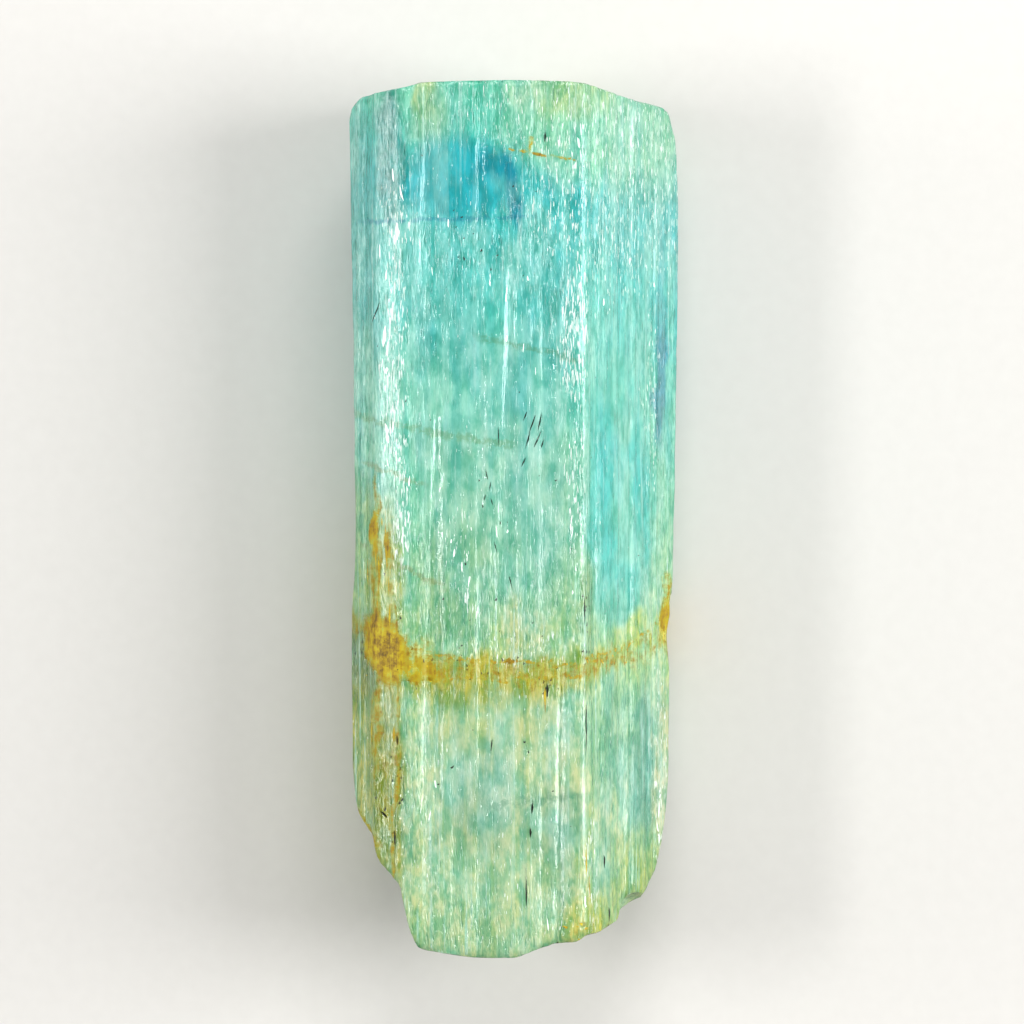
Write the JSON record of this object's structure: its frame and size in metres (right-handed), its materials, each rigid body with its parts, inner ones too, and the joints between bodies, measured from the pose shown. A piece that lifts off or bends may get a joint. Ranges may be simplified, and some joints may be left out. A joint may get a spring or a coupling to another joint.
{
  "type": "aquamarine crystal",
  "caption": "Natural striated hexagonal aquamarine prism lying on a flat prism face, with a domed top, a broken stepped root and an iron-stained fracture sealed inside.",
  "frame": {"origin": "on the surface that the crystal rests on, under the middle of its box", "axes": "+Y up the crystal's c axis from the broken root to the domed top, +X across the front face, +Z out of the front face and up as it lies"},
  "size_m": [0.0244, 0.064, 0.017],
  "materials": {
    "beryl": "see-through blue-green beryl, clouded, with a fine lengthwise striation on its faces",
    "iron_stain": "yellow to brown iron oxide film in healed fractures",
    "inner_veil": "white silky veils and growth tubes inside the crystal",
    "dark_speck": "dark mineral specks and open cracks"
  },
  "bodies": {
    "root": {"crystal": "beryl"}
  },
  "joints": []
}
